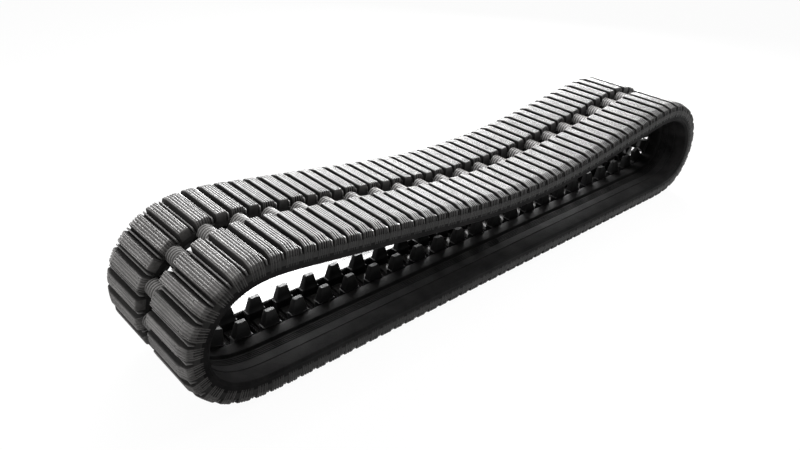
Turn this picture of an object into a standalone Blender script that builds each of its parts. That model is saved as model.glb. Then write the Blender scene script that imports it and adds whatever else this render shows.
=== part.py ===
"""Rubber crawler track, 400 mm wide, 86 mm pitch, 52 pitches, standing on its lower run.

Axes: +X along the track to the far bend, +Y across it, +Z up, floor at Z = 0.
The loop is laid out along the cord line, the surface that keeps its length when
the track bends. Every section is given by its distance outward from that line
and its distance across the track. All lengths are in metres.
"""
import math

import bmesh
import bpy
from mathutils import Matrix, Vector

# Driving sizes
PITCH = 0.086
PITCH_COUNT = 52
TRACK_WIDTH = 0.400
CORD_TO_LUG_TOP = 0.0376
CORD_TO_ROLLER_PATH = 0.0270
FIT_GAP = 0.0003

# Loop seen from the side: each bend and the sag are given by a span of cord line
LOW_NEAR_SPAN = 2.40 * PITCH
HIGH_NEAR_SPAN = 3.33 * PITCH
NEAR_SLOPE_RUN = 7.10 * PITCH
SAG_SPAN = 7.38 * PITCH
FAR_SLOPE_RUN = 4.96 * PITCH
HIGH_FAR_SPAN = 3.79 * PITCH
LOW_FAR_SPAN = 1.71 * PITCH
NEAR_SLOPE_ANGLE = math.radians(7.74)
FAR_SLOPE_ANGLE = math.radians(8.69)
EASE_SPAN = 1.5 * PITCH
CORE_PHASE = 0.282 * PITCH

# Steel-cord ply
PLY_THICKNESS = 0.0032
PLY_INNER_Y = 0.050
PLY_OUTER_Y = TRACK_WIDTH / 2 - 0.014
PLY_BEVEL = 0.003

# Tread band and its bars
BAND_INNER_Y = 0.0265
GROOVE_FLOOR = 0.0140
LONG_BAR_SHARE = 0.54
GROOVE_TOP_WIDTH = 0.0100
GROOVE_FLOOR_WIDTH = 0.0060
BAR_INNER_Y = 0.0285
BAR_SHOULDER_Y = TRACK_WIDTH / 2 - 0.028
BAR_OUTER_Y = TRACK_WIDTH / 2 - 0.0025
SHOULDER_DROP = 0.0080

# Roller-path band, with a raised strip beside the horns
PATH_INNER_Y = 0.0480
PATH_STEP_Y = 0.092
PATH_STEP_RISE = 0.0050
PATH_EDGE_INSET = 0.004

# Forged core
WING_THICKNESS = 0.0082
WING_WIDTH = 0.0400
WING_END_Y = 0.132
SADDLE_TOP = 0.0222
SADDLE_BASE_WIDTH = 0.0420
SADDLE_SIDES = 5
HORN_INNER_Y = 0.0240
HORN_LEDGE_INNER_Y = 0.0262
HORN_LEDGE_OUTER_Y = 0.0465
HORN_TOP_INNER_Y = 0.0280
HORN_TOP_OUTER_Y = 0.0430
HORN_BASE_LENGTH = 0.0500
HORN_LEDGE_LENGTH = 0.0400
HORN_TOP_LENGTH = 0.0260
HORN_LEDGE_RISE = 0.0230
HORN_RISE = 0.0480

# Sizes that follow from the others
CORE_HALF = LONG_BAR_SHARE * PITCH / 2
PLY_FACE = PLY_THICKNESS / 2
TREAD_FACE = PLY_FACE + FIT_GAP
PATH_FACE = -(PLY_FACE + FIT_GAP)
LOOP_LENGTH = PITCH * PITCH_COUNT
HALF_WIDTH = TRACK_WIDTH / 2

SAMPLES_PER_PITCH = 12
EASE_SAMPLES = 8
CLOSING_PASSES = 8
CLOSING_STEP = 1e-5

RUBBER_BLACK = (0.022, 0.021, 0.021, 1.0)
COATED_BLACK = (0.016, 0.016, 0.017, 1.0)
CORD_GREY = (0.16, 0.16, 0.17, 1.0)


def clear_scene():
    for item in list(bpy.data.objects):
        bpy.data.objects.remove(item, do_unlink=True)


def make_material(name, colour, roughness, metallic):
    material = bpy.data.materials.new(name)
    material.use_nodes = True
    shader = material.node_tree.nodes["Principled BSDF"]
    shader.inputs["Base Color"].default_value = colour
    shader.inputs["Roughness"].default_value = roughness
    shader.inputs["Metallic"].default_value = metallic
    material.diffuse_color = colour
    return material


def tread_rubber():
    return make_material("tread_rubber", RUBBER_BLACK, 0.55, 0.0)


def path_rubber():
    return make_material("path_rubber", RUBBER_BLACK, 0.60, 0.0)


def cord_ply():
    return make_material("cord_ply", CORD_GREY, 0.60, 0.3)


def coated_core():
    return make_material("coated_core", COATED_BLACK, 0.50, 0.0)


class CordLine:
    """Closed side-view curve of the cord line, clockwise from the lower near bend."""

    def __init__(self):
        self.far_run = FAR_SLOPE_RUN
        self.low_near = LOW_NEAR_SPAN
        for _ in range(CLOSING_PASSES):
            self.close_once()
        self.trace()
        self.settle()

    def breaks(self):
        spans = (
            (self.low_near, -math.pi / 2),
            (HIGH_NEAR_SPAN, -(math.pi / 2 + NEAR_SLOPE_ANGLE)),
            (NEAR_SLOPE_RUN, 0.0),
            (SAG_SPAN, NEAR_SLOPE_ANGLE + FAR_SLOPE_ANGLE),
            (self.far_run, 0.0),
            (HIGH_FAR_SPAN, -(math.pi / 2 + FAR_SLOPE_ANGLE)),
            (LOW_FAR_SPAN, -math.pi / 2),
        )
        at = 0.0
        heading = math.pi
        marks = [(at, heading)]
        for length, turn in spans:
            at += length
            heading += turn
            marks.append((at, heading))
        marks.append((LOOP_LENGTH, heading))
        return marks

    def sharp_heading(self, marks, at):
        laps = math.floor(at / LOOP_LENGTH)
        local = at - laps * LOOP_LENGTH
        for (start, first), (end, last) in zip(marks, marks[1:]):
            if local <= end:
                share = (local - start) / (end - start)
                return first + (last - first) * share - 2 * math.pi * laps
        return marks[-1][1] - 2 * math.pi * laps

    def eased_heading(self, marks, at):
        total = 0.0
        weights = 0
        for k in range(-EASE_SAMPLES, EASE_SAMPLES + 1):
            weight = EASE_SAMPLES + 1 - abs(k)
            total += weight * self.sharp_heading(marks, at + k * EASE_SPAN / EASE_SAMPLES)
            weights += weight
        return total / weights

    def trace(self):
        marks = self.breaks()
        count = PITCH_COUNT * SAMPLES_PER_PITCH
        step = LOOP_LENGTH / count
        self.step = step
        self.heading = [self.eased_heading(marks, k * step) for k in range(count + 1)]
        self.points = [(0.0, 0.0)]
        for before, after in zip(self.heading, self.heading[1:]):
            x, z = self.points[-1]
            x += (math.cos(before) + math.cos(after)) / 2 * step
            z += (math.sin(before) + math.sin(after)) / 2 * step
            self.points.append((x, z))
        return self.points[-1]

    def close_once(self):
        """One Newton step that brings the end of the loop onto its start."""
        x, z = self.trace()
        self.far_run += CLOSING_STEP
        x_run, z_run = self.trace()
        self.far_run -= CLOSING_STEP
        self.low_near += CLOSING_STEP
        x_low, z_low = self.trace()
        self.low_near -= CLOSING_STEP
        slope = Matrix((
            ((x_run - x) / CLOSING_STEP, (x_low - x) / CLOSING_STEP),
            ((z_run - z) / CLOSING_STEP, (z_low - z) / CLOSING_STEP),
        ))
        change = slope.inverted() @ Vector((x, z))
        self.far_run -= change[0]
        self.low_near -= change[1]

    def settle(self):
        """Centre the loop on X and put the lug faces of the lower run on Z = 0."""
        left = min(x for x, z in self.points)
        right = max(x for x, z in self.points)
        low = min(z for x, z in self.points)
        middle = (left + right) / 2
        rise = CORD_TO_LUG_TOP - low
        self.points = [(x - middle, z + rise) for x, z in self.points]

    def heading_at(self, along):
        laps = math.floor(along / LOOP_LENGTH)
        local = along - laps * LOOP_LENGTH
        index = min(int(local / self.step), len(self.heading) - 2)
        share = local / self.step - index
        turned = self.heading[index] * (1 - share) + self.heading[index + 1] * share
        return turned - 2 * math.pi * laps

    def place(self, along, across, outward):
        """Point in space for a place along the cord line."""
        along = along % LOOP_LENGTH
        index = min(int(along / self.step), len(self.points) - 2)
        share = along / self.step - index
        x = self.points[index][0] * (1 - share) + self.points[index + 1][0] * share
        z = self.points[index][1] * (1 - share) + self.points[index + 1][1] * share
        heading = self.heading[index] * (1 - share) + self.heading[index + 1] * share
        return Vector((
            x - math.sin(heading) * outward,
            across,
            z + math.cos(heading) * outward,
        ))

    def frame(self, along, half):
        """Matrix on the chord over a short span: X along it, Y across, Z outward."""
        before = self.place(along - half, 0.0, 0.0)
        after = self.place(along + half, 0.0, 0.0)
        forward = (after - before).normalized()
        across = Vector((0.0, 1.0, 0.0))
        out = forward.cross(across)
        matrix = Matrix((forward, across, out)).transposed().to_4x4()
        matrix.translation = (before + after) / 2
        return matrix


def core_station(index):
    return CORE_PHASE + index * PITCH


def groove_stations():
    """Groove centre lines, each core's pair first and last under its long bar."""
    stations = []
    for index in range(PITCH_COUNT):
        stations.append(core_station(index) - CORE_HALF)
        stations.append(core_station(index) + CORE_HALF)
    return stations


def finish_object(name, mesh, material):
    body = bpy.data.objects.new(name, mesh)
    bpy.context.scene.collection.objects.link(body)
    mesh.materials.append(material)
    return body


def mesh_from_shell(name, shell):
    """Closed mesh whose faces all look outward."""
    bmesh.ops.remove_doubles(shell, verts=shell.verts, dist=1e-6)
    bmesh.ops.recalc_face_normals(shell, faces=shell.faces)
    mesh = bpy.data.meshes.new(name)
    shell.to_mesh(mesh)
    shell.free()
    return mesh


def add_rows(shell, line, rows):
    """Vertices for each row, where a row is (along, [(across, outward), ...])."""
    made = []
    for along, section in rows:
        made.append([shell.verts.new(line.place(along, y, n)) for y, n in section])
    return made


def skin(shell, first, second):
    """Quads between two open rows with the same number of points."""
    for k in range(len(first) - 1):
        shell.faces.new((first[k], first[k + 1], second[k + 1], second[k]))


def fan(shell, apex, chain):
    for before, after in zip(chain, chain[1:]):
        shell.faces.new((apex, before, after))


def bar_section(side):
    """Across and outward places of a bar, from the sprocket hole to the track edge."""
    return (
        (side * BAND_INNER_Y, GROOVE_FLOOR),
        (side * BAR_INNER_Y, CORD_TO_LUG_TOP),
        (side * BAR_SHOULDER_Y, CORD_TO_LUG_TOP),
        (side * BAR_OUTER_Y, CORD_TO_LUG_TOP - SHOULDER_DROP),
        (side * HALF_WIDTH, GROOVE_FLOOR),
    )


def floor_section(side):
    return tuple((y, GROOVE_FLOOR) for y, n in bar_section(side))


def ply_recess(side):
    """Underside of the tread: a bevelled recess that takes the cord ply."""
    return (
        (side * BAND_INNER_Y, PATH_FACE + FIT_GAP),
        (side * (PLY_INNER_Y - PLY_BEVEL - FIT_GAP), PATH_FACE + FIT_GAP),
        (side * (PLY_INNER_Y - FIT_GAP), TREAD_FACE),
        (side * (PLY_OUTER_Y + FIT_GAP), TREAD_FACE),
        (side * (PLY_OUTER_Y + PLY_BEVEL + FIT_GAP), PATH_FACE + FIT_GAP),
        (side * HALF_WIDTH, PATH_FACE + FIT_GAP),
    )


def crest_share(line, start, end):
    """Share by which a bar's top is drawn in, so that it is no longer in a bend than on the flat."""
    bend = (line.heading_at(start) - line.heading_at(end)) / (end - start)
    return (1 + bend * GROOVE_FLOOR) / (1 + bend * CORD_TO_LUG_TOP)


def build_tread(name, line, side, material):
    """Endless outer band with two bars to each pitch, one long and one short."""
    shell = bmesh.new()
    stations = groove_stations()
    count = len(stations)
    under = add_rows(shell, line, [(s, ply_recess(side)) for s in stations])
    bars = []
    for k, start in enumerate(stations):
        end = stations[k + 1] if k + 1 < count else stations[0] + LOOP_LENGTH
        foot = GROOVE_FLOOR_WIDTH / 2
        middle = (start + end) / 2
        crest = (middle - start - GROOVE_TOP_WIDTH / 2) * crest_share(line, start, end)
        bars.append(add_rows(shell, line, (
            (start + foot, floor_section(side)),
            (middle - crest, bar_section(side)),
            (middle + crest, bar_section(side)),
            (end - foot, floor_section(side)),
        )))
    for k in range(count):
        bar = bars[k]
        following = bars[(k + 1) % count]
        here = under[k]
        ahead = under[(k + 1) % count]
        for first, second in zip(bar, bar[1:] + [following[0]]):
            skin(shell, first, second)
        skin(shell, here, ahead)
        for edge in (0, -1):
            fan(shell, here[edge], [bar[0][edge], bar[1][edge], bar[2][edge]])
            shell.faces.new((here[edge], bar[2][edge], ahead[edge]))
            fan(shell, ahead[edge], [bar[2][edge], bar[3][edge], following[0][edge]])
    return finish_object(name, mesh_from_shell(name, shell), material)


def build_ply(name, line, side, material):
    """Endless ply of steel cord, thin and bevelled along both edges."""
    section = (
        (side * (PLY_INNER_Y - PLY_BEVEL), -PLY_FACE),
        (side * PLY_INNER_Y, PLY_FACE),
        (side * PLY_OUTER_Y, PLY_FACE),
        (side * (PLY_OUTER_Y + PLY_BEVEL), -PLY_FACE),
    )
    shell = bmesh.new()
    rows = add_rows(shell, line, [(s, section) for s in groove_stations()])
    for first, second in zip(rows, rows[1:] + rows[:1]):
        skin(shell, first + first[:1], second + second[:1])
    return finish_object(name, mesh_from_shell(name, shell), material)


def build_path(name, line, side, material):
    """Endless roller-path band whose outer face has a pocket for each core wing."""
    pocket_floor = PATH_FACE - WING_THICKNESS - 2 * FIT_GAP
    pocket_end = WING_END_Y + FIT_GAP
    roller_side = (
        (side * HALF_WIDTH, PATH_FACE),
        (side * HALF_WIDTH, PATH_EDGE_INSET - CORD_TO_ROLLER_PATH),
        (side * (HALF_WIDTH - PATH_EDGE_INSET), -CORD_TO_ROLLER_PATH),
        (side * PATH_STEP_Y, -CORD_TO_ROLLER_PATH),
        (side * (PATH_STEP_Y - PATH_STEP_RISE), -(CORD_TO_ROLLER_PATH + PATH_STEP_RISE)),
        (side * PATH_INNER_Y, -(CORD_TO_ROLLER_PATH + PATH_STEP_RISE)),
    )
    face_side = ((side * PATH_INNER_Y, PATH_FACE), (side * pocket_end, PATH_FACE))
    pocket_side = ((side * PATH_INNER_Y, pocket_floor), (side * pocket_end, pocket_floor))
    stations = groove_stations()
    shell = bmesh.new()
    lower = add_rows(shell, line, [(s, roller_side) for s in stations])
    upper = add_rows(shell, line, [(s, face_side) for s in stations])
    floor = add_rows(shell, line, [(s, pocket_side) for s in stations])
    for k in range(len(stations)):
        nxt = (k + 1) % len(stations)
        skin(shell, lower[k], lower[nxt])
        shell.faces.new((lower[k][0], lower[nxt][0], upper[nxt][1], upper[k][1]))
        shell.faces.new((lower[k][-1], lower[nxt][-1], floor[nxt][0], floor[k][0]))
        shell.faces.new((upper[k][0], upper[k][1], floor[k][1], floor[k][0]))
        if k % 2 == 0:
            skin(shell, floor[k], floor[nxt])
            shell.faces.new((floor[k][1], floor[nxt][1], upper[nxt][1], upper[k][1]))
        else:
            skin(shell, upper[k], upper[nxt])
            shell.faces.new((floor[k][0], floor[nxt][0], upper[nxt][0], upper[k][0]))
    return finish_object(name, mesh_from_shell(name, shell), material)


def block(corners):
    """Closed six-sided block from a lower and an upper ring of four corners."""
    shell = bmesh.new()
    lower = [shell.verts.new(c) for c in corners[:4]]
    upper = [shell.verts.new(c) for c in corners[4:]]
    shell.faces.new(lower)
    shell.faces.new(upper)
    for k in range(4):
        after = (k + 1) % 4
        shell.faces.new((lower[k], lower[after], upper[after], upper[k]))
    return mesh_from_shell("block", shell)


def wing_mesh():
    """Flat plate under the cord ply, reaching out to both sides of the core."""
    top = PATH_FACE - FIT_GAP
    low = top - WING_THICKNESS
    half = WING_WIDTH / 2
    return block((
        (-half, -WING_END_Y, low), (half, -WING_END_Y, low),
        (half, WING_END_Y, low), (-half, WING_END_Y, low),
        (-half, -WING_END_Y, top), (half, -WING_END_Y, top),
        (half, WING_END_Y, top), (-half, WING_END_Y, top),
    ))


def saddle_mesh():
    """Half-round bridge between two sprocket holes."""
    base = PATH_FACE - FIT_GAP - WING_THICKNESS / 2
    half = SADDLE_BASE_WIDTH / 2
    reach = BAND_INNER_Y - FIT_GAP
    shoulder = SADDLE_TOP - half
    profile = [(half, base)]
    for k in range(SADDLE_SIDES + 1):
        turn = math.pi * k / SADDLE_SIDES
        profile.append((half * math.cos(turn), shoulder + half * math.sin(turn)))
    profile.append((-half, base))
    shell = bmesh.new()
    near = [shell.verts.new((x, -reach, z)) for x, z in profile]
    far = [shell.verts.new((x, reach, z)) for x, z in profile]
    shell.faces.new(near)
    shell.faces.new(far)
    for k in range(len(profile)):
        after = (k + 1) % len(profile)
        shell.faces.new((near[k], near[after], far[after], far[k]))
    return mesh_from_shell("saddle", shell)


def horn_mesh(side):
    """Guide horn: a long foot, and above its ledge a steeper tip that keeps the rollers in line."""
    base = PATH_FACE - FIT_GAP - WING_THICKNESS / 2
    ledge = -(CORD_TO_ROLLER_PATH + HORN_LEDGE_RISE)
    tip = -(CORD_TO_ROLLER_PATH + HORN_RISE)
    foot_outer = PATH_INNER_Y - FIT_GAP
    levels = (
        (base, HORN_BASE_LENGTH, HORN_INNER_Y, foot_outer),
        (ledge, HORN_LEDGE_LENGTH, HORN_LEDGE_INNER_Y, HORN_LEDGE_OUTER_Y),
        (tip, HORN_TOP_LENGTH, HORN_TOP_INNER_Y, HORN_TOP_OUTER_Y),
    )
    shell = bmesh.new()
    rings = []
    for level, length, inner, outer in levels:
        half = length / 2
        corners = ((-half, inner), (half, inner), (half, outer), (-half, outer))
        rings.append([shell.verts.new((x, side * y, level)) for x, y in corners])
    shell.faces.new(rings[0])
    shell.faces.new(rings[-1])
    for first, second in zip(rings, rings[1:]):
        skin(shell, first + first[:1], second + second[:1])
    return mesh_from_shell("horn", shell)


def core_mesh():
    """Wing plate, saddle and two horns joined into one forging."""
    pieces = [wing_mesh(), saddle_mesh(), horn_mesh(-1), horn_mesh(1)]
    bodies = [bpy.data.objects.new("core_piece", mesh) for mesh in pieces]
    for body in bodies:
        bpy.context.scene.collection.objects.link(body)
    main = bodies[0]
    for cutter in bodies[1:]:
        join = main.modifiers.new("join", "BOOLEAN")
        join.operation = "UNION"
        join.solver = "EXACT"
        join.object = cutter
    graph = bpy.context.evaluated_depsgraph_get()
    joined = bpy.data.meshes.new_from_object(main.evaluated_get(graph))
    joined.materials.clear()
    for body in bodies:
        bpy.data.objects.remove(body, do_unlink=True)
    return joined


def build_cores(line, material):
    pattern = core_mesh()
    for index in range(PITCH_COUNT):
        mesh = pattern.copy()
        name = f"core_{index + 1:02d}"
        mesh.name = name
        body = finish_object(name, mesh, material)
        body.matrix_world = line.frame(core_station(index), CORE_HALF)


def main():
    clear_scene()
    line = CordLine()
    tread = tread_rubber()
    path = path_rubber()
    ply = cord_ply()
    core = coated_core()
    for label, side in (("near", -1), ("far", 1)):
        build_tread(f"tread_band_{label}", line, side, tread)
        build_ply(f"cord_ply_{label}", line, side, ply)
        build_path(f"roller_path_{label}", line, side, path)
    build_cores(line, core)


main()
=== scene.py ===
"""Looks of the rubber track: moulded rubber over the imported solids, camera and studio.

The loop is the same cord line that the part's source uses. Places are given along
that line, across the track and outward from it, all in metres.
"""

import math
import random

import bpy
import numpy as np
from mathutils import Matrix, Vector


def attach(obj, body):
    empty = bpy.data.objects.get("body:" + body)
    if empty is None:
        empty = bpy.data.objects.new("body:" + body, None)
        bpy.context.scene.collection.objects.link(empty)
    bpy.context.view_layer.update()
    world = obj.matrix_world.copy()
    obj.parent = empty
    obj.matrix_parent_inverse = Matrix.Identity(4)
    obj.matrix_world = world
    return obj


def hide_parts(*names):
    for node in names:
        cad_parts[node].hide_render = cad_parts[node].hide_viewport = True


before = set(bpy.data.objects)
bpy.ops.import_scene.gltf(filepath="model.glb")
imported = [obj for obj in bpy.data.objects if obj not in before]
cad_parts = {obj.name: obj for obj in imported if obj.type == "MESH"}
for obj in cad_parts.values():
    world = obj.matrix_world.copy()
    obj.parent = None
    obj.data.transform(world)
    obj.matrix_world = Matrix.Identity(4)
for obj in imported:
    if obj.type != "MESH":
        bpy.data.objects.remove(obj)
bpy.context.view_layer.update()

# Loop
PITCH = 0.086
PITCH_COUNT = 52
HALF_WIDTH = 0.200
LUG_TOP = 0.0376
PATH_TOP = 0.0270
LOOP_LENGTH = PITCH * PITCH_COUNT
LOW_NEAR_SPAN = 2.40 * PITCH
HIGH_NEAR_SPAN = 3.33 * PITCH
NEAR_SLOPE_RUN = 7.10 * PITCH
SAG_SPAN = 7.38 * PITCH
FAR_SLOPE_RUN = 4.96 * PITCH
HIGH_FAR_SPAN = 3.79 * PITCH
LOW_FAR_SPAN = 1.71 * PITCH
NEAR_SLOPE_ANGLE = math.radians(7.74)
FAR_SLOPE_ANGLE = math.radians(8.69)
EASE_SPAN = 1.5 * PITCH
CORE_PHASE = 0.282 * PITCH
SAMPLES_PER_PITCH = 12
EASE_SAMPLES = 8
CLOSING_PASSES = 8
CLOSING_STEP = 1e-5

# Tread. Y is measured from the middle of the track, and levels outward from the cord line.
BAND_INNER_Y = 0.0265
GROOVE_FLOOR = 0.0140
LONG_BAR_SHARE = 0.54
CORE_HALF = LONG_BAR_SHARE * PITCH / 2
GROOVE_TOP_WIDTH = 0.0142
GROOVE_FLOOR_WIDTH = 0.0060
SHOULDER_Y = 0.172
SHOULDER_DROP = 0.0080
SEAM_LEVEL = -0.0018
HIDDEN_JOINT_Y = 0.1300
RIDGE_DEPTH = 0.0025
RIDGE_SHAPE = (1.0, 0.80, 0.10, 0.0, 0.10, 0.80)
RIDGE_SAMPLES = len(RIDGE_SHAPE)
RIDGE_COUNT = {"long": 4, "short": 3}
SIDE_RIDGE_SHARE = 0.45
PLAIN_END = 0.0030
CREST_MARGIN = 0.0026
FOOT_CURVE = ((0.0006, 0.0), (0.0, 0.05), (-0.0006, 0.14))
CREST_CURVE = ((0.0006, 0.86), (-0.0002, 0.94), (-0.0014, 0.985))
BAR_LEAN = {"long": 0.0050, "short": 0.0020}
BAR_BURIED = 0.0015
BAR_FLARE = 0.0010
BAR_DRIFT = 0.0005
BAR_WOBBLE = (-0.0004, 0.0001)
BAR_SEED = 5
EDGE_ROUND = 0.0035

# Fins in the grooves; the section lists shifts along the track and shares of the height
FIN_HEIGHT = 0.0150
FIN_SUNK = 0.0008
FIN_END_Y = 0.1997
FIN_SECTION = (
    (-0.0024, 0.0), (-0.0018, 0.88), (-0.0012, 0.98),
    (0.0012, 0.98), (0.0018, 0.88), (0.0024, 0.0),
)

# Vent marks on the bars: dark discs, painted shade standing in for small pits
VENT_ROWS = (0.0400, 0.1630)
VENT_PLACES = {"long": (-0.62, 0.0, 0.62), "short": (-0.5, 0.5)}
VENT_MISSING = 0.15
VENT_DRIFT = (0.001, 0.004)
VENT_RADIUS = 0.0013
VENT_LIFT = 0.0002
VENT_SEED = 11

# Roller paths
PATH_INNER_Y = 0.0480
SEAM_GAP = 0.0001
STRIP_Y = 0.0920
STRIP_INNER_Y = 0.0520
STRIP_RISE = 0.0050
LIP_LEVEL = -0.0195
LIP_BULGE = 0.0006
OUTER_FLAT = (0.1440, 0.1560)
OUTER_LINES = (0.1500,)
INNER_FLAT_Y = 0.1240
INNER_FLAT_SINK = 0.0010
INNER_LINES = (0.1190, 0.1130, 0.1070, 0.1010)
LINE_FOOT_HALF = 0.0012
LINE_CREST_HALF = 0.0005
PATH_ROUND = 0.0009
RINGS_PER_PITCH = 12

# Saddles and the core wings
SADDLE_HALF = 0.0205
SADDLE_TOP = 0.0222
SADDLE_SUNK = 0.0004
SADDLE_REACH = 0.0272
SADDLE_RINGS = 6
RING_SAMPLES = 6
RING_HEIGHT = 0.0025
ARC_POINTS = 15
WEB_LEVEL = -0.0110
WEB_BEND = -0.0070
WING_HALF = 0.0200
WING_PLACES = (-0.0500, -0.0350, 0.0350, 0.0500)
WING_LEVELS = (-0.0022, -0.0104)

# Guide horns, level by level: level, half length, inner Y, outer Y and corner radius
HORN_LEVELS = (
    (-0.0030, 0.0258, 0.0240, 0.0477, 0.0026),
    (-0.0310, 0.0244, 0.0246, 0.0477, 0.0026),
    (-0.0322, 0.0272, 0.0240, 0.0506, 0.0040),
    (-0.0338, 0.0272, 0.0240, 0.0506, 0.0040),
    (-0.0356, 0.0240, 0.0252, 0.0474, 0.0028),
    (-0.0500, 0.0201, 0.0262, 0.0465, 0.0028),
    (-0.0728, 0.0139, 0.0277, 0.0433, 0.0026),
    (-0.0742, 0.0132, 0.0283, 0.0427, 0.0026),
    (-0.0750, 0.0114, 0.0297, 0.0413, 0.0020),
)
CORNER_STEPS = 3

# Painted shade and light by place: painted shade values run from 0 on a crest to 1 in a dark hollow, where
# colour and sheen are darkened; places are along X
PAINTED_SHADE_COLOUR = 0.15
PAINTED_SHADE_SHEEN = 0.03
# Painted shade on the bars: darker towards the bottom of the side and down the groove walls
SIDE_SHADE = (0.75, 0.65, 0.25, 0.0)
FLANK_POWER = 20
# Painted shade in the ridge troughs: its gain, and its share along X, weaker at the near bend
RIDGE_SHADE_GAIN = 2.2
RIDGE_SHADE_ENDS = (-0.95, -0.72)
RIDGE_SHADE_SHARE = (0.30, 1.0)
FIN_CREST_GAIN = 1.4
# Painted shade that darkens the fins, horns and far roller path beyond a place along X
SHADE_FADE = 0.25
FINS_SHADE_FROM = -0.55
HORNS_SHADE_FROM = -0.70
HORNS_SHADE_MOST = 0.6
# Painted shade on the saddles of the lower run, below this level
LOWER_RUN_TOP = 0.07
LOWER_SADDLE_SHADE = 0.85
# Painted light at the near bend: where it starts and ends along X, sheen kept, roughness added, and the
# colour lift of the tread
NEAR_BEND_PAINT_ENDS = (-0.98, -0.76)
NEAR_BEND_SHEEN_CUT = 0.45
NEAR_BEND_ROUGHNESS = 0.22
TREAD_BEND_LIGHT_LIFT = 3.2

# Rubber textures: noise scale and detail, and the noise values where an effect starts and ends
BLOOM_NOISE = (16.0, 6.0)
FLECK_NOISE = (160.0, 4.0)
GRAIN_NOISE = (1100.0, 3.0)
BLOOM_ENDS = (0.38, 0.68)
SPECK_ENDS = (0.35, 0.75)
SPECK_SHARE = 0.5
GLOSS_ENDS = (0.3, 0.7)
GRAIN_DEPTH = 0.0004
DENT_DEPTH = 0.0012
ALONG_BARS = (2.0, 0.35, 2.0)

# Studio
FLOOR_WHITE = 0.96
FLOOR_GREY = 0.6
FLOOR_ROUGHNESS = 0.9
FLOOR_REACH = 60.0
FLOOR_LEVEL = -0.0006
DARK_STRIP = (0.88, 0.12)
STRIP_EDGE = 0.02
WORLD_LIGHT = 0.12

# Camera
SENSOR_WIDTH = 36.0
CAMERA_PLACE = Vector((-1.5550, -1.3257, 1.2110))
CAMERA_YAW = 0.8057
CAMERA_PITCH = 0.5109
CAMERA_ROLL = 0.0608
CAMERA_LENS = 32.69


class CordLine:
    """The closed side-view curve that the part's sections are laid along."""

    def __init__(self):
        self.far_run = FAR_SLOPE_RUN
        self.low_near = LOW_NEAR_SPAN
        for _ in range(CLOSING_PASSES):
            self.close_once()
        self.trace()
        self.x -= (self.x.min() + self.x.max()) / 2
        self.z += LUG_TOP - self.z.min()

    def trace(self):
        spans = (
            (self.low_near, -math.pi / 2),
            (HIGH_NEAR_SPAN, -(math.pi / 2 + NEAR_SLOPE_ANGLE)),
            (NEAR_SLOPE_RUN, 0.0),
            (SAG_SPAN, NEAR_SLOPE_ANGLE + FAR_SLOPE_ANGLE),
            (self.far_run, 0.0),
            (HIGH_FAR_SPAN, -(math.pi / 2 + FAR_SLOPE_ANGLE)),
            (LOW_FAR_SPAN, -math.pi / 2),
        )
        marks = np.cumsum([0.0] + [length for length, turn in spans])
        turns = math.pi + np.cumsum([0.0] + [turn for length, turn in spans])
        marks = np.append(marks, LOOP_LENGTH)
        turns = np.append(turns, turns[-1])
        count = PITCH_COUNT * SAMPLES_PER_PITCH
        step = LOOP_LENGTH / count
        self.s = np.arange(count + 1) * step
        total = np.zeros_like(self.s)
        weights = 0
        for k in range(-EASE_SAMPLES, EASE_SAMPLES + 1):
            weight = EASE_SAMPLES + 1 - abs(k)
            at = self.s + k * EASE_SPAN / EASE_SAMPLES
            laps = np.floor(at / LOOP_LENGTH)
            sharp = np.interp(at - laps * LOOP_LENGTH, marks, turns) - 2 * math.pi * laps
            total += weight * sharp
            weights += weight
        self.heading = total / weights
        along = np.cos(self.heading)
        up = np.sin(self.heading)
        self.x = np.concatenate([[0.0], np.cumsum((along[1:] + along[:-1]) / 2 * step)])
        self.z = np.concatenate([[0.0], np.cumsum((up[1:] + up[:-1]) / 2 * step)])
        return np.array([self.x[-1], self.z[-1]])

    def close_once(self):
        """One Newton step that brings the end of the loop onto its start."""
        miss = self.trace()
        self.far_run += CLOSING_STEP
        run = (self.trace() - miss) / CLOSING_STEP
        self.far_run -= CLOSING_STEP
        self.low_near += CLOSING_STEP
        low = (self.trace() - miss) / CLOSING_STEP
        self.low_near -= CLOSING_STEP
        change = np.linalg.solve(np.column_stack([run, low]), miss)
        self.far_run -= change[0]
        self.low_near -= change[1]

    def heading_at(self, along):
        laps = np.floor(along / LOOP_LENGTH)
        turned = np.interp(along - laps * LOOP_LENGTH, self.s, self.heading)
        return turned - 2 * math.pi * laps

    def bend(self, start, end):
        return (self.heading_at(start) - self.heading_at(end)) / (end - start)

    def place(self, along, across, outward):
        """Points for arrays of places along, across and outward."""
        along, across, outward = np.broadcast_arrays(along, across, outward)
        s = np.mod(along, LOOP_LENGTH)
        x = np.interp(s, self.s, self.x)
        z = np.interp(s, self.s, self.z)
        heading = np.interp(s, self.s, self.heading)
        return np.stack([
            x - np.sin(heading) * outward,
            across.astype(float),
            z + np.cos(heading) * outward,
        ], axis=-1)


LINE = CordLine()


def core_station(index):
    return CORE_PHASE + index * PITCH


def bar_spans():
    """Long bars over the cores and short ones beside the holes, by their groove centres."""
    spans = []
    for index in range(PITCH_COUNT):
        middle = core_station(index)
        spans.append(("long", middle - CORE_HALF, middle + CORE_HALF))
        spans.append(("short", middle + CORE_HALF, middle + PITCH - CORE_HALF))
    return spans


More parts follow.
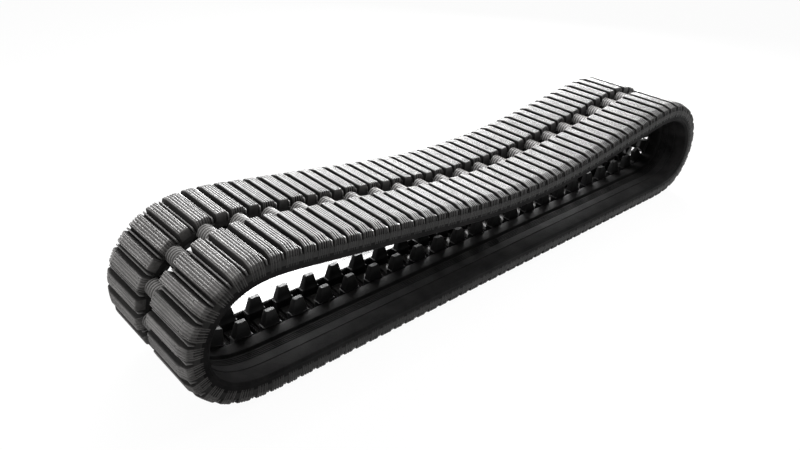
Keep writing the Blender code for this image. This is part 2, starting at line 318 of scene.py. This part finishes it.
class Builder:
    """Collects grids of points and turns them into one mesh."""

    def __init__(self):
        self.points = []
        self.faces = []
        self.painted_shades = []
        self.count = 0

    def grid(self, points, wrap_u=False, wrap_v=False, flip=False, painted_shade=0.0):
        rows, columns = points.shape[:2]
        self.painted_shades.append(np.broadcast_to(painted_shade, (rows, columns)).ravel())
        u = np.arange(rows if wrap_u else rows - 1)
        v = np.arange(columns if wrap_v else columns - 1)
        uu, vv = np.meshgrid(u, v, indexing="ij")
        un = (uu + 1) % rows
        vn = (vv + 1) % columns
        corners = (uu * columns + vv, un * columns + vv, un * columns + vn, uu * columns + vn)
        quads = np.stack(corners, axis=-1).reshape(-1, 4) + self.count
        if flip:
            quads = quads[:, ::-1]
        self.points.append(points.reshape(-1, 3))
        self.faces.append(quads)
        self.count += rows * columns

    def cap(self, ring, flip=False):
        """Fan that closes a ring of points at its centre."""
        size = len(ring)
        self.painted_shades.append(np.zeros(size + 1))
        a = np.arange(size)
        b = (a + 1) % size
        centre = np.full(size, size)
        order = (b, a, centre, centre) if flip else (a, b, centre, centre)
        self.points.append(np.vstack([ring, ring.mean(axis=0)[None]]))
        self.faces.append(np.stack(order, axis=-1) + self.count)
        self.count += size + 1

    def build(self, name, material, sharp_degrees):
        points = np.vstack(self.points)
        faces = np.vstack(self.faces).tolist()
        listed = [f[:3] if f[2] == f[3] else f for f in faces]
        mesh = bpy.data.meshes.new(name)
        mesh.from_pydata(points.tolist(), [], listed)
        mesh.update()
        mesh.shade_smooth()
        mesh.set_sharp_from_angle(angle=math.radians(sharp_degrees))
        mesh.materials.append(material)
        # Per-point painted shade values, which the material turns into darker colour and less sheen
        depth = mesh.attributes.new("painted_shade", "FLOAT", "POINT")
        depth.data.foreach_set("value", np.concatenate(self.painted_shades))
        body = bpy.data.objects.new(name, mesh)
        bpy.context.scene.collection.objects.link(body)
        return body


def rounded(corners, radius, steps):
    """Open path through the corners with each inner corner rounded."""
    corners = [np.array(c, float) for c in corners]
    out = [corners[0]]
    for before, here, after in zip(corners, corners[1:], corners[2:]):
        back = before - here
        ahead = after - here
        reach = min(radius, np.linalg.norm(back) * 0.45, np.linalg.norm(ahead) * 0.45)
        a = here + back / np.linalg.norm(back) * reach
        b = here + ahead / np.linalg.norm(ahead) * reach
        for k in range(steps + 1):
            t = k / steps
            out.append((1 - t) ** 2 * a + 2 * t * (1 - t) * here + t ** 2 * b)
    out.append(corners[-1])
    return np.array(out)


def path_normals(path):
    step = np.gradient(path, axis=0)
    step /= np.linalg.norm(step, axis=1)[:, None]
    return np.stack([-step[:, 1], step[:, 0]], axis=-1)


def noise_node(nodes, links, coords, scale, detail, stretch=None):
    noise = nodes.new("ShaderNodeTexNoise")
    noise.inputs["Scale"].default_value = scale
    noise.inputs["Detail"].default_value = detail
    source = coords.outputs["Object"]
    if stretch:
        mapping = nodes.new("ShaderNodeMapping")
        mapping.inputs["Scale"].default_value = stretch
        links.new(source, mapping.inputs["Vector"])
        source = mapping.outputs["Vector"]
    links.new(source, noise.inputs["Vector"])
    return noise


def map_range(nodes, links, value, low, high, to_low, to_high):
    node = nodes.new("ShaderNodeMapRange")
    node.inputs["From Min"].default_value = low
    node.inputs["From Max"].default_value = high
    node.inputs["To Min"].default_value = to_low
    node.inputs["To Max"].default_value = to_high
    links.new(value, node.inputs["Value"])
    return node.outputs["Result"]


def combine(nodes, links, operation, *values):
    """Math node on values that are sockets or plain numbers."""
    node = nodes.new("ShaderNodeMath")
    node.operation = operation
    for socket, value in zip(node.inputs, values):
        if isinstance(value, float):
            socket.default_value = value
        else:
            links.new(value, socket)
    return node.outputs["Value"]


def rubber(name, dark, pale, rough, spread, grain, streak=None, specular=0.5, bend_light_lift=1.0):
    """Moulded black rubber: grain, dusty patches, uneven gloss, painted shade that darkens colour and
    sheen, and painted light at the near bend that lifts the colour, cuts the sheen and adds roughness.
    """
    material = bpy.data.materials.new(name)
    material.use_nodes = True
    nodes = material.node_tree.nodes
    links = material.node_tree.links
    shader = nodes["Principled BSDF"]
    coords = nodes.new("ShaderNodeTexCoord")
    bloom = noise_node(nodes, links, coords, *BLOOM_NOISE, streak)
    fleck = noise_node(nodes, links, coords, *FLECK_NOISE)
    fine = noise_node(nodes, links, coords, *GRAIN_NOISE)
    patches = map_range(nodes, links, bloom.outputs["Fac"], *BLOOM_ENDS, 0.0, 1.0)
    specks = map_range(nodes, links, fleck.outputs["Fac"], *SPECK_ENDS, 0.0, SPECK_SHARE)
    mix = nodes.new("ShaderNodeMix")
    mix.data_type = "RGBA"
    mix.inputs["A"].default_value = (*dark, 1.0)
    mix.inputs["B"].default_value = (*pale, 1.0)
    links.new(combine(nodes, links, "ADD", patches, specks), mix.inputs["Factor"])
    painted_shade = nodes.new("ShaderNodeAttribute")
    painted_shade.attribute_name = "painted_shade"
    split = nodes.new("ShaderNodeSeparateXYZ")
    links.new(coords.outputs["Object"], split.inputs["Vector"])
    # Painted light at the near bend: lighter colour and less sheen there, with more roughness
    bend_paint = map_range(nodes, links, split.outputs["X"], *NEAR_BEND_PAINT_ENDS, 1.0, 0.0)
    shade = map_range(nodes, links, painted_shade.outputs["Fac"], 0.0, 1.0, 1.0, PAINTED_SHADE_COLOUR)
    bend_lift = map_range(nodes, links, bend_paint, 0.0, 1.0, 1.0, bend_light_lift)
    shade = combine(nodes, links, "MULTIPLY", shade, bend_lift)
    shaded = nodes.new("ShaderNodeVectorMath")
    shaded.operation = "SCALE"
    links.new(mix.outputs["Result"], shaded.inputs["Vector"])
    links.new(shade, shaded.inputs["Scale"])
    links.new(shaded.outputs["Vector"], shader.inputs["Base Color"])
    sheen = map_range(nodes, links, painted_shade.outputs["Fac"], 0.0, 1.0, specular, specular * PAINTED_SHADE_SHEEN)
    painted_dim = map_range(nodes, links, bend_paint, 0.0, 1.0, 1.0, NEAR_BEND_SHEEN_CUT)
    links.new(combine(nodes, links, "MULTIPLY", sheen, painted_dim), shader.inputs["Specular IOR Level"])
    gloss = map_range(nodes, links, fleck.outputs["Fac"], *GLOSS_ENDS, rough - spread, rough + spread)
    rougher = combine(nodes, links, "MULTIPLY_ADD", bend_paint, NEAR_BEND_ROUGHNESS, gloss)
    links.new(rougher, shader.inputs["Roughness"])
    bump = nodes.new("ShaderNodeBump")
    bump.inputs["Strength"].default_value = grain
    bump.inputs["Distance"].default_value = GRAIN_DEPTH
    links.new(fine.outputs["Fac"], bump.inputs["Height"])
    dents = nodes.new("ShaderNodeBump")
    dents.inputs["Strength"].default_value = grain
    dents.inputs["Distance"].default_value = DENT_DEPTH
    links.new(fleck.outputs["Fac"], dents.inputs["Height"])
    links.new(bump.outputs["Normal"], dents.inputs["Normal"])
    links.new(dents.outputs["Normal"], shader.inputs["Normal"])
    return material


def bar_profile(start, end, ridges):
    """Place along the bar from its middle, share of full height, and ridge depth."""
    half = (end - start) / 2
    foot = half - GROOVE_FLOOR_WIDTH / 2
    crest = half - GROOVE_TOP_WIDTH / 2
    flank = [(foot + shift, share) for shift, share in FOOT_CURVE]
    flank += [(crest + shift, share) for shift, share in CREST_CURVE]
    places = [(-a, share, 0.0) for a, share in flank]
    inner = crest - CREST_MARGIN
    count = ridges * RIDGE_SAMPLES
    for k in range(count + 1):
        sunk = RIDGE_SHAPE[k % RIDGE_SAMPLES] if 0 < k < count else 0.0
        places.append((inner * (2 * k / count - 1), 1.0, sunk))
    places += [(a, share, 0.0) for a, share in reversed(flank)]
    return np.array(places).T


def bar_path(kind):
    """Envelope of a bar from its hole end over its top to the track edge."""
    lean = BAR_LEAN[kind]
    foot = BAND_INNER_Y - 0.0003
    inner = [(foot, GROOVE_FLOOR - 0.002), (foot + lean / 4, 0.0280), (foot + lean, LUG_TOP)]
    outer = [
        (SHOULDER_Y, LUG_TOP),
        (HALF_WIDTH - 0.0035, LUG_TOP - SHOULDER_DROP),
        (HALF_WIDTH + 0.0002, GROOVE_FLOOR),
        (HALF_WIDTH + 0.0002, SEAM_LEVEL - 0.006),
        (HALF_WIDTH - 0.0004, SEAM_LEVEL - 0.0085),
    ]
    return rounded(inner + outer, EDGE_ROUND, 4)


def make_bars(side):
    builder = Builder()
    chooser = random.Random(BAR_SEED + side)
    paths = {kind: bar_path(kind) for kind in BAR_LEAN}
    for kind, start, end in bar_spans():
        path = paths[kind]
        normal = path_normals(path)
        along, share, ridge = bar_profile(start, end, RIDGE_COUNT[kind])
        fade = np.ones(len(path))
        fade[path[:, 1] < GROOVE_FLOOR - 0.001] = SIDE_RIDGE_SHARE
        if kind == "short":
            fade[path[:, 0] < BAND_INNER_Y + PLAIN_END] = 0.0
        ridged = ridge[:, None] * fade[None, :]
        depth = RIDGE_DEPTH * ridged
        wobble = chooser.uniform(*BAR_WOBBLE)
        across = path[None, :, 0] - normal[None, :, 0] * depth
        full = path[None, :, 1] - normal[None, :, 1] * depth + wobble
        base = GROOVE_FLOOR - BAR_BURIED
        outward = np.where(full > base, base + (full - base) * share[:, None], full)
        across = np.where(full > base, across, across - BAR_FLARE * (1 - share[:, None]))
        middle = (start + end) / 2 + chooser.uniform(-BAR_DRIFT, BAR_DRIFT)
        bend = LINE.bend(start, end)
        drawn = (1 + bend * GROOVE_FLOOR) / (1 + bend * np.maximum(outward, GROOVE_FLOOR))
        points = LINE.place(middle + along[:, None] * drawn, side * across, outward)
        # Painted shade: darker towards the bottom of the side, down the groove walls and in the ridge
        # troughs
        side_levels = (SEAM_LEVEL, GROOVE_FLOOR, LUG_TOP - SHOULDER_DROP, LUG_TOP)
        low = np.interp(path[:, 1], side_levels, SIDE_SHADE)
        trough_shade_share = np.interp(points[:, :, 0], RIDGE_SHADE_ENDS, RIDGE_SHADE_SHARE)
        trough = np.minimum(1, RIDGE_SHADE_GAIN * ridged)
        sunk = np.maximum(1 - share[:, None] ** FLANK_POWER, trough * trough_shade_share)
        builder.grid(points, flip=side < 0, painted_shade=np.maximum(low[None, :], sunk))
    return builder


def shaded_beyond(points, shade_from, most=1.0):
    """Painted shade values that rise from 0 to the most beyond a place along X."""
    return np.clip((points[:, :, 0] - shade_from) / SHADE_FADE, 0, most)


def sweep_ring(builder, section, side, shade_from=None):
    """Closed section swept round the whole loop, with painted shade beyond a place along X if one is given.
    """
    steps = np.arange(PITCH_COUNT * RINGS_PER_PITCH)
    stations = core_station(0) - CORE_HALF + steps * PITCH / RINGS_PER_PITCH
    points = LINE.place(stations[:, None], side * section[None, :, 0], section[None, :, 1])
    painted_shade = 0.0 if shade_from is None else shaded_beyond(points, shade_from)
    builder.grid(points, wrap_u=True, wrap_v=True, flip=side < 0, painted_shade=painted_shade)


def make_carcass(side):
    builder = Builder()
    corners = [
        (0.0700, SEAM_LEVEL), (BAND_INNER_Y, SEAM_LEVEL), (BAND_INNER_Y, GROOVE_FLOOR),
        (0.1170, GROOVE_FLOOR), (HALF_WIDTH - 0.0004, GROOVE_FLOOR),
    ]
    outer = [(HALF_WIDTH, GROOVE_FLOOR - 0.0020), (HALF_WIDTH, SEAM_LEVEL), (HIDDEN_JOINT_Y, SEAM_LEVEL)]
    section = np.vstack([rounded(corners, 0.0014, 3), outer])
    sweep_ring(builder, section, side)
    return builder


def make_groove_ribs(side):
    """Thin fin along the middle of each groove that runs over the track edge."""
    builder = Builder()
    base = GROOVE_FLOOR - FIN_SUNK
    fin = FIN_HEIGHT
    top_line = np.array([
        (BAND_INNER_Y + 0.0020, 0.0), (BAND_INNER_Y + 0.0035, fin * 0.8), (BAND_INNER_Y + 0.0060, fin),
        (0.1900, fin), (0.1940, fin * 0.98), (0.1985, fin * 0.35), (0.1990, 0.0),
    ])
    foot_line = top_line.copy()
    foot_line[:, 1] = np.minimum(foot_line[:, 1], 0.0)
    foot_line[:, 0] = np.minimum(foot_line[:, 0], FIN_END_Y)
    shares = np.array([share for shift, share in FIN_SECTION])
    # Painted shade on the fin: darker at its foot and sides, lightest along its crest
    painted_shade = 1 - np.outer(shares ** 2, np.clip(FIN_CREST_GAIN * top_line[:, 1] / fin, 0, 1))
    for kind, start, end in bar_spans():
        rows = []
        for shift, share in FIN_SECTION:
            line = foot_line + (top_line - foot_line) * share
            station = np.full(len(line), start + shift)
            rows.append(LINE.place(station, side * line[:, 0], base + line[:, 1]))
        points = np.array(rows)
        # Painted shade on the fins beyond a place along X
        painted_dim = shaded_beyond(points, FINS_SHADE_FROM)
        builder.grid(points, flip=side < 0, painted_shade=np.maximum(painted_shade, painted_dim))
    return builder


def bead_lines(centres, level, height):
    """Corners of fine raised lines that run along the path."""
    corners = []
    for centre in centres:
        corners += [
            (centre + LINE_FOOT_HALF, level), (centre + LINE_CREST_HALF, level - height),
            (centre - LINE_CREST_HALF, level - height), (centre - LINE_FOOT_HALF, level),
        ]
    return corners


def make_path(side, line_height, shade_from):
    """Roller-path rubber: side lip, bevelled edge, fine lines and the strip by the horns."""
    builder = Builder()
    top = -PATH_TOP
    strip = -(PATH_TOP + STRIP_RISE)
    seam = SEAM_LEVEL - SEAM_GAP
    flat = top + INNER_FLAT_SINK
    corners = [
        (HIDDEN_JOINT_Y, seam), (HALF_WIDTH, seam), (HALF_WIDTH, LIP_LEVEL + 0.0020),
        (HALF_WIDTH + LIP_BULGE, LIP_LEVEL + 0.0008), (HALF_WIDTH + LIP_BULGE, LIP_LEVEL - 0.0004),
        (HALF_WIDTH - 0.0012, LIP_LEVEL - 0.0014), (HALF_WIDTH - 0.0060, top + 0.0006),
        (OUTER_FLAT[1], top),
    ]
    corners += bead_lines(OUTER_LINES, top, line_height)
    corners += [(OUTER_FLAT[0], top), (INNER_FLAT_Y, flat)]
    corners += bead_lines(INNER_LINES, flat, line_height)
    corners += [
        (STRIP_Y + 0.0020, top + 0.0006), (STRIP_Y - STRIP_RISE, strip), (STRIP_INNER_Y, strip),
        (PATH_INNER_Y, strip + 0.0030), (PATH_INNER_Y, seam),
    ]
    sweep_ring(builder, rounded(corners, PATH_ROUND, 2), side, shade_from)
    return builder


def core_matrix(index):
    middle = core_station(index)
    before, after = LINE.place(np.array([middle - CORE_HALF, middle + CORE_HALF]), 0.0, 0.0)
    forward = Vector(after - before).normalized()
    across = Vector((0.0, 1.0, 0.0))
    out = forward.cross(across)
    matrix = Matrix((forward, across, out)).transposed().to_4x4()
    matrix.translation = Vector((before + after) / 2)
    return np.array(matrix)


def moved(matrix, points):
    return points @ matrix[:3, :3].T + matrix[:3, 3]


def ring_shares():
    """Share of the ring height, from 1 on a rib to 0 between two, step by step across the saddle."""
    steps = np.arange(SADDLE_RINGS * RING_SAMPLES + 1)
    return 0.5 + 0.5 * np.cos(2 * math.pi * steps / RING_SAMPLES)


def saddle_points():
    """Half-round bridge with ring ribs: rows across the track, columns round it."""
    rows = []
    places = np.linspace(-SADDLE_REACH, SADDLE_REACH, SADDLE_RINGS * RING_SAMPLES + 1)
    centre = SADDLE_TOP - SADDLE_HALF - SADDLE_SUNK
    low = [(0.0, 0.0), (0.0, WEB_BEND), (0.0022, WEB_LEVEL + 0.0018), (0.0060, WEB_LEVEL)]
    for y, share in zip(places, ring_shares()):
        reach = SADDLE_HALF + RING_HEIGHT * share
        ring = []
        for t in np.linspace(0, math.pi, ARC_POINTS):
            ring.append((math.cos(t) * reach, centre + math.sin(t) * reach))
        ring += [(-SADDLE_HALF + inset, n) for inset, n in low]
        ring += [(SADDLE_HALF - inset, n) for inset, n in reversed(low)]
        rows.append([(x, y, n) for x, n in ring])
    return np.array(rows)


def horn_points(side):
    """Guide horn with rounded edges, from inside the wing to its tip."""
    rows = []
    for n, half, inner, outer, radius in HORN_LEVELS:
        far_x = half - radius
        far_y = outer - radius
        near_y = inner + radius
        corners = ((far_x, far_y, 0), (-far_x, far_y, 90), (-far_x, near_y, 180), (far_x, near_y, 270))
        ring = []
        for x, y, first in corners:
            for step in range(CORNER_STEPS + 1):
                t = math.radians(first + 90 / CORNER_STEPS * step)
                ring.append((x + radius * math.cos(t), side * (y + radius * math.sin(t)), n))
        rows.append(ring)
    return np.array(rows)


def wing_points():
    """Flat wing of a core that runs into the pockets on both sides."""
    high, low = WING_LEVELS
    corners = ((-WING_HALF, high), (WING_HALF, high), (WING_HALF, low), (-WING_HALF, low))
    return np.array([[(x, y, n) for x, n in corners] for y in WING_PLACES])


def make_saddle(index, saddle):
    builder = Builder()
    placed = moved(core_matrix(index), saddle)
    # Painted shade: full on the web and underside, between the ring ribs, and on the saddles of the lower
    # run
    painted_shade = np.ones(placed.shape[:2])
    painted_shade[:, :ARC_POINTS] = 1 - ring_shares()[:, None]
    lower = placed[:, :, 2] < LOWER_RUN_TOP
    painted_shade[lower] = np.maximum(painted_shade[lower], LOWER_SADDLE_SHADE)
    builder.grid(placed, wrap_v=True, painted_shade=painted_shade)
    builder.cap(placed[0], flip=True)
    builder.cap(placed[-1])
    return builder


def make_horns(index, horns, wing):
    builder = Builder()
    matrix = core_matrix(index)
    for side, horn in zip((-1, 1), horns):
        placed = moved(matrix, horn)
        # Painted shade on the horns beyond a place along X: darker colour and less sheen
        painted_dim = shaded_beyond(placed, HORNS_SHADE_FROM, HORNS_SHADE_MOST)
        builder.grid(placed, wrap_v=True, flip=side < 0, painted_shade=painted_dim)
        builder.cap(placed[-1], flip=side > 0)
    # Core wings in full painted shade
    builder.grid(moved(matrix, wing), wrap_v=True, flip=True, painted_shade=1.0)
    return builder


def make_vents(side):
    """Small dark discs near both ends of each bar, painted shade standing in for vent pits."""
    chooser = random.Random(VENT_SEED + side)
    builder = Builder()
    turn = np.radians(np.arange(0, 360, 45))
    drift_along, drift_across = VENT_DRIFT
    for kind, start, end in bar_spans():
        middle = (start + end) / 2
        bend = LINE.bend(start, end)
        drawn = (1 + bend * GROOVE_FLOOR) / (1 + bend * LUG_TOP)
        reach = ((end - start - GROOVE_TOP_WIDTH) / 2) * drawn
        for row in VENT_ROWS:
            for share in VENT_PLACES[kind]:
                if chooser.random() < VENT_MISSING:
                    continue
                along = middle + reach * share + chooser.uniform(-drift_along, drift_along)
                across = row + chooser.uniform(-drift_across, drift_across)
                along = along + VENT_RADIUS * np.cos(turn)
                across = across + VENT_RADIUS * np.sin(turn)
                ring = LINE.place(along, side * across, LUG_TOP + VENT_LIFT)
                builder.cap(ring, flip=side < 0)
    return builder


TREAD = rubber(
    "tread_look", dark=(0.018, 0.0172, 0.0168), pale=(0.044, 0.0425, 0.0415),
    rough=0.36, spread=0.07, grain=0.06, streak=ALONG_BARS, bend_light_lift=TREAD_BEND_LIGHT_LIFT,
)
# Fins are paler than the tread rubber: a painted highlight that shows them as thin bright strokes
FIN_HIGHLIGHT = rubber(
    "fin_highlight_look", dark=(0.070, 0.068, 0.067), pale=(0.120, 0.116, 0.114),
    rough=0.32, spread=0.05, grain=0.06,
)
# Saddles are much paler than the tread rubber: painted light on their lit tops
SADDLE_LIT = rubber(
    "saddle_lit_look", dark=(0.100, 0.097, 0.095), pale=(0.190, 0.185, 0.181),
    rough=0.28, spread=0.05, grain=0.05,
)
CARCASS = rubber(
    "carcass_look", dark=(0.007, 0.0068, 0.0066), pale=(0.016, 0.0155, 0.015),
    rough=0.60, spread=0.10, grain=0.3, specular=0.25,
)
# The two roller paths are one rubber: a shaded copy, dark with little sheen, on the near side, and a lit
# copy, paler and glossy, on the far side
NEAR_PATH_SHADED = rubber(
    "path_shaded_look", dark=(0.004, 0.004, 0.0042), pale=(0.011, 0.0107, 0.0107),
    rough=0.60, spread=0.08, grain=0.25, specular=0.04,
)
FAR_PATH_LIT = rubber(
    "polished_path_lit_look", dark=(0.012, 0.012, 0.012), pale=(0.022, 0.022, 0.022),
    rough=0.24, spread=0.04, grain=0.02,
)
CORE = rubber(
    "core_look", dark=(0.006, 0.006, 0.0063), pale=(0.013, 0.0128, 0.013),
    rough=0.42, spread=0.08, grain=0.2, specular=0.20,
)
# Near-black: painted shade inside the vent pits
VENT_SHADE = rubber(
    "vent_pit_shade_look", dark=(0.003, 0.003, 0.003), pale=(0.006, 0.006, 0.006),
    rough=0.80, spread=0.05, grain=0.2,
)

# Roller paths by side: material, height of the fine lines, and where painted shade starts along X
PATHS = {
    "near": (NEAR_PATH_SHADED, 0.0012, None),
    "far": (FAR_PATH_LIT, 0.0003, -0.45),
}


def dress(piece, node):
    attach(piece, "root")
    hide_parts(node)


for label, side in (("near", -1), ("far", 1)):
    tread = "tread_band_" + label
    dress(make_bars(side).build("bars_" + label, TREAD, 50), tread)
    dress(make_carcass(side).build("carcass_" + label, CARCASS, 40), tread)
    dress(make_groove_ribs(side).build("groove_ribs_" + label, FIN_HIGHLIGHT, 50), tread)
    dress(make_vents(side).build("vent_shade_discs_" + label, VENT_SHADE, 40), tread)
    look, line_height, shade_from = PATHS[label]
    path = make_path(side, line_height, shade_from).build("path_" + label, look, 40)
    dress(path, "roller_path_" + label)
    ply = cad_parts["cord_ply_" + label]
    for item in ply.material_slots:
        item.material = CARCASS

saddle = saddle_points()
horns = [horn_points(-1), horn_points(1)]
wing = wing_points()
for index in range(PITCH_COUNT):
    name = "core_%02d" % (index + 1)
    dress(make_horns(index, horns, wing).build("horns_" + name, CORE, 40), name)
    dress(make_saddle(index, saddle).build("saddle_" + name, SADDLE_LIT, 40), name)


def seen_straight(nodes, links):
    """1 for camera, glossy and transmission rays, 0 for the rays that light the part."""
    rays = nodes.new("ShaderNodeLightPath")
    total = rays.outputs["Is Camera Ray"]
    for kind in ("Is Glossy Ray", "Is Transmission Ray"):
        total = combine(nodes, links, "MAXIMUM", total, rays.outputs[kind])
    return total


def open_floor(nodes, links):
    """0 in a strip that lies hidden under the track and stays dark, and 1 around it."""
    coords = nodes.new("ShaderNodeTexCoord")
    split = nodes.new("ShaderNodeSeparateXYZ")
    links.new(coords.outputs["Object"], split.inputs["Vector"])
    beyond = []
    for axis, reach in zip(("X", "Y"), DARK_STRIP):
        size = combine(nodes, links, "ABSOLUTE", split.outputs[axis])
        beyond.append(map_range(nodes, links, size, reach - STRIP_EDGE, reach, 0.0, 1.0))
    return combine(nodes, links, "MAXIMUM", *beyond)


def make_floor():
    size = FLOOR_REACH
    corners = [(x, y, FLOOR_LEVEL) for x, y in ((-size, -size), (size, -size), (size, size), (-size, size))]
    mesh = bpy.data.meshes.new("floor")
    mesh.from_pydata(corners, [], [(0, 1, 2, 3)])
    material = bpy.data.materials.new("studio_floor")
    material.use_nodes = True
    nodes = material.node_tree.nodes
    links = material.node_tree.links
    shader = nodes["Principled BSDF"]
    shader.inputs["Base Color"].default_value = (FLOOR_GREY, FLOOR_GREY, FLOOR_GREY, 1.0)
    shader.inputs["Roughness"].default_value = FLOOR_ROUGHNESS
    white = nodes.new("ShaderNodeEmission")
    seen = map_range(nodes, links, seen_straight(nodes, links), 0.0, 1.0, 0.0, FLOOR_WHITE)
    share = combine(nodes, links, "MULTIPLY", seen, open_floor(nodes, links))
    blend = nodes.new("ShaderNodeMixShader")
    links.new(share, blend.inputs["Fac"])
    links.new(shader.outputs["BSDF"], blend.inputs[1])
    links.new(white.outputs["Emission"], blend.inputs[2])
    links.new(blend.outputs["Shader"], nodes["Material Output"].inputs["Surface"])
    mesh.materials.append(material)
    floor = bpy.data.objects.new("floor", mesh)
    bpy.context.scene.collection.objects.link(floor)


def soft_box(name, place, target, size, power):
    data = bpy.data.lights.new(name, "AREA")
    data.shape = "RECTANGLE"
    data.size, data.size_y = size
    data.energy = power
    lamp = bpy.data.objects.new(name, data)
    bpy.context.scene.collection.objects.link(lamp)
    lamp.location = place
    direction = Vector(target) - Vector(place)
    lamp.rotation_euler = direction.to_track_quat("-Z", "Y").to_euler()


def make_world():
    """White to the camera, and a dim even light on the part."""
    world = bpy.data.worlds.new("studio")
    bpy.context.scene.world = world
    world.use_nodes = True
    nodes = world.node_tree.nodes
    links = world.node_tree.links
    back = nodes["Background"]
    level = map_range(nodes, links, seen_straight(nodes, links), 0.0, 1.0, WORLD_LIGHT, 1.0)
    back.inputs["Color"].default_value = (1.0, 1.0, 1.0, 1.0)
    links.new(level, back.inputs["Strength"])


def make_camera():
    data = bpy.data.cameras.new("camera")
    data.sensor_width = SENSOR_WIDTH
    data.lens = CAMERA_LENS
    camera = bpy.data.objects.new("camera", data)
    bpy.context.scene.collection.objects.link(camera)
    flat = math.cos(CAMERA_PITCH)
    ahead = Vector((flat * math.cos(CAMERA_YAW), flat * math.sin(CAMERA_YAW), -math.sin(CAMERA_PITCH)))
    right = Vector((math.sin(CAMERA_YAW), -math.cos(CAMERA_YAW), 0.0))
    up = right.cross(ahead)
    tilted_right = right * math.cos(CAMERA_ROLL) + up * math.sin(CAMERA_ROLL)
    tilted_up = up * math.cos(CAMERA_ROLL) - right * math.sin(CAMERA_ROLL)
    matrix = Matrix((tilted_right, tilted_up, -ahead)).transposed().to_4x4()
    matrix.translation = CAMERA_PLACE
    camera.matrix_world = matrix
    bpy.context.scene.camera = camera


make_floor()
make_world()
soft_box("overhead", (-0.4, 0.6, 2.8), (0, 0, 0.2), (2.6, 1.6), 45)
soft_box("back_left", (-1.7, 1.4, 1.35), (-0.8, 0, 0.3), (1.2, 0.9), 20)
soft_box("back_middle", (0.1, 1.7, 1.35), (-0.4, 0, 0.3), (1.4, 0.9), 122)
soft_box("back_far", (2.1, 1.5, 1.55), (0.3, 0, 0.3), (1.6, 1.1), 350)
soft_box("top", (0.6, -0.1, 2.2), (0, 0, 0.3), (1.6, 0.8), 70)
soft_box("left", (-3.0, -0.2, 1.6), (-0.6, 0, 0.2), (1.8, 1.4), 32)
make_camera()
bpy.context.scene.view_settings.view_transform = "Standard"
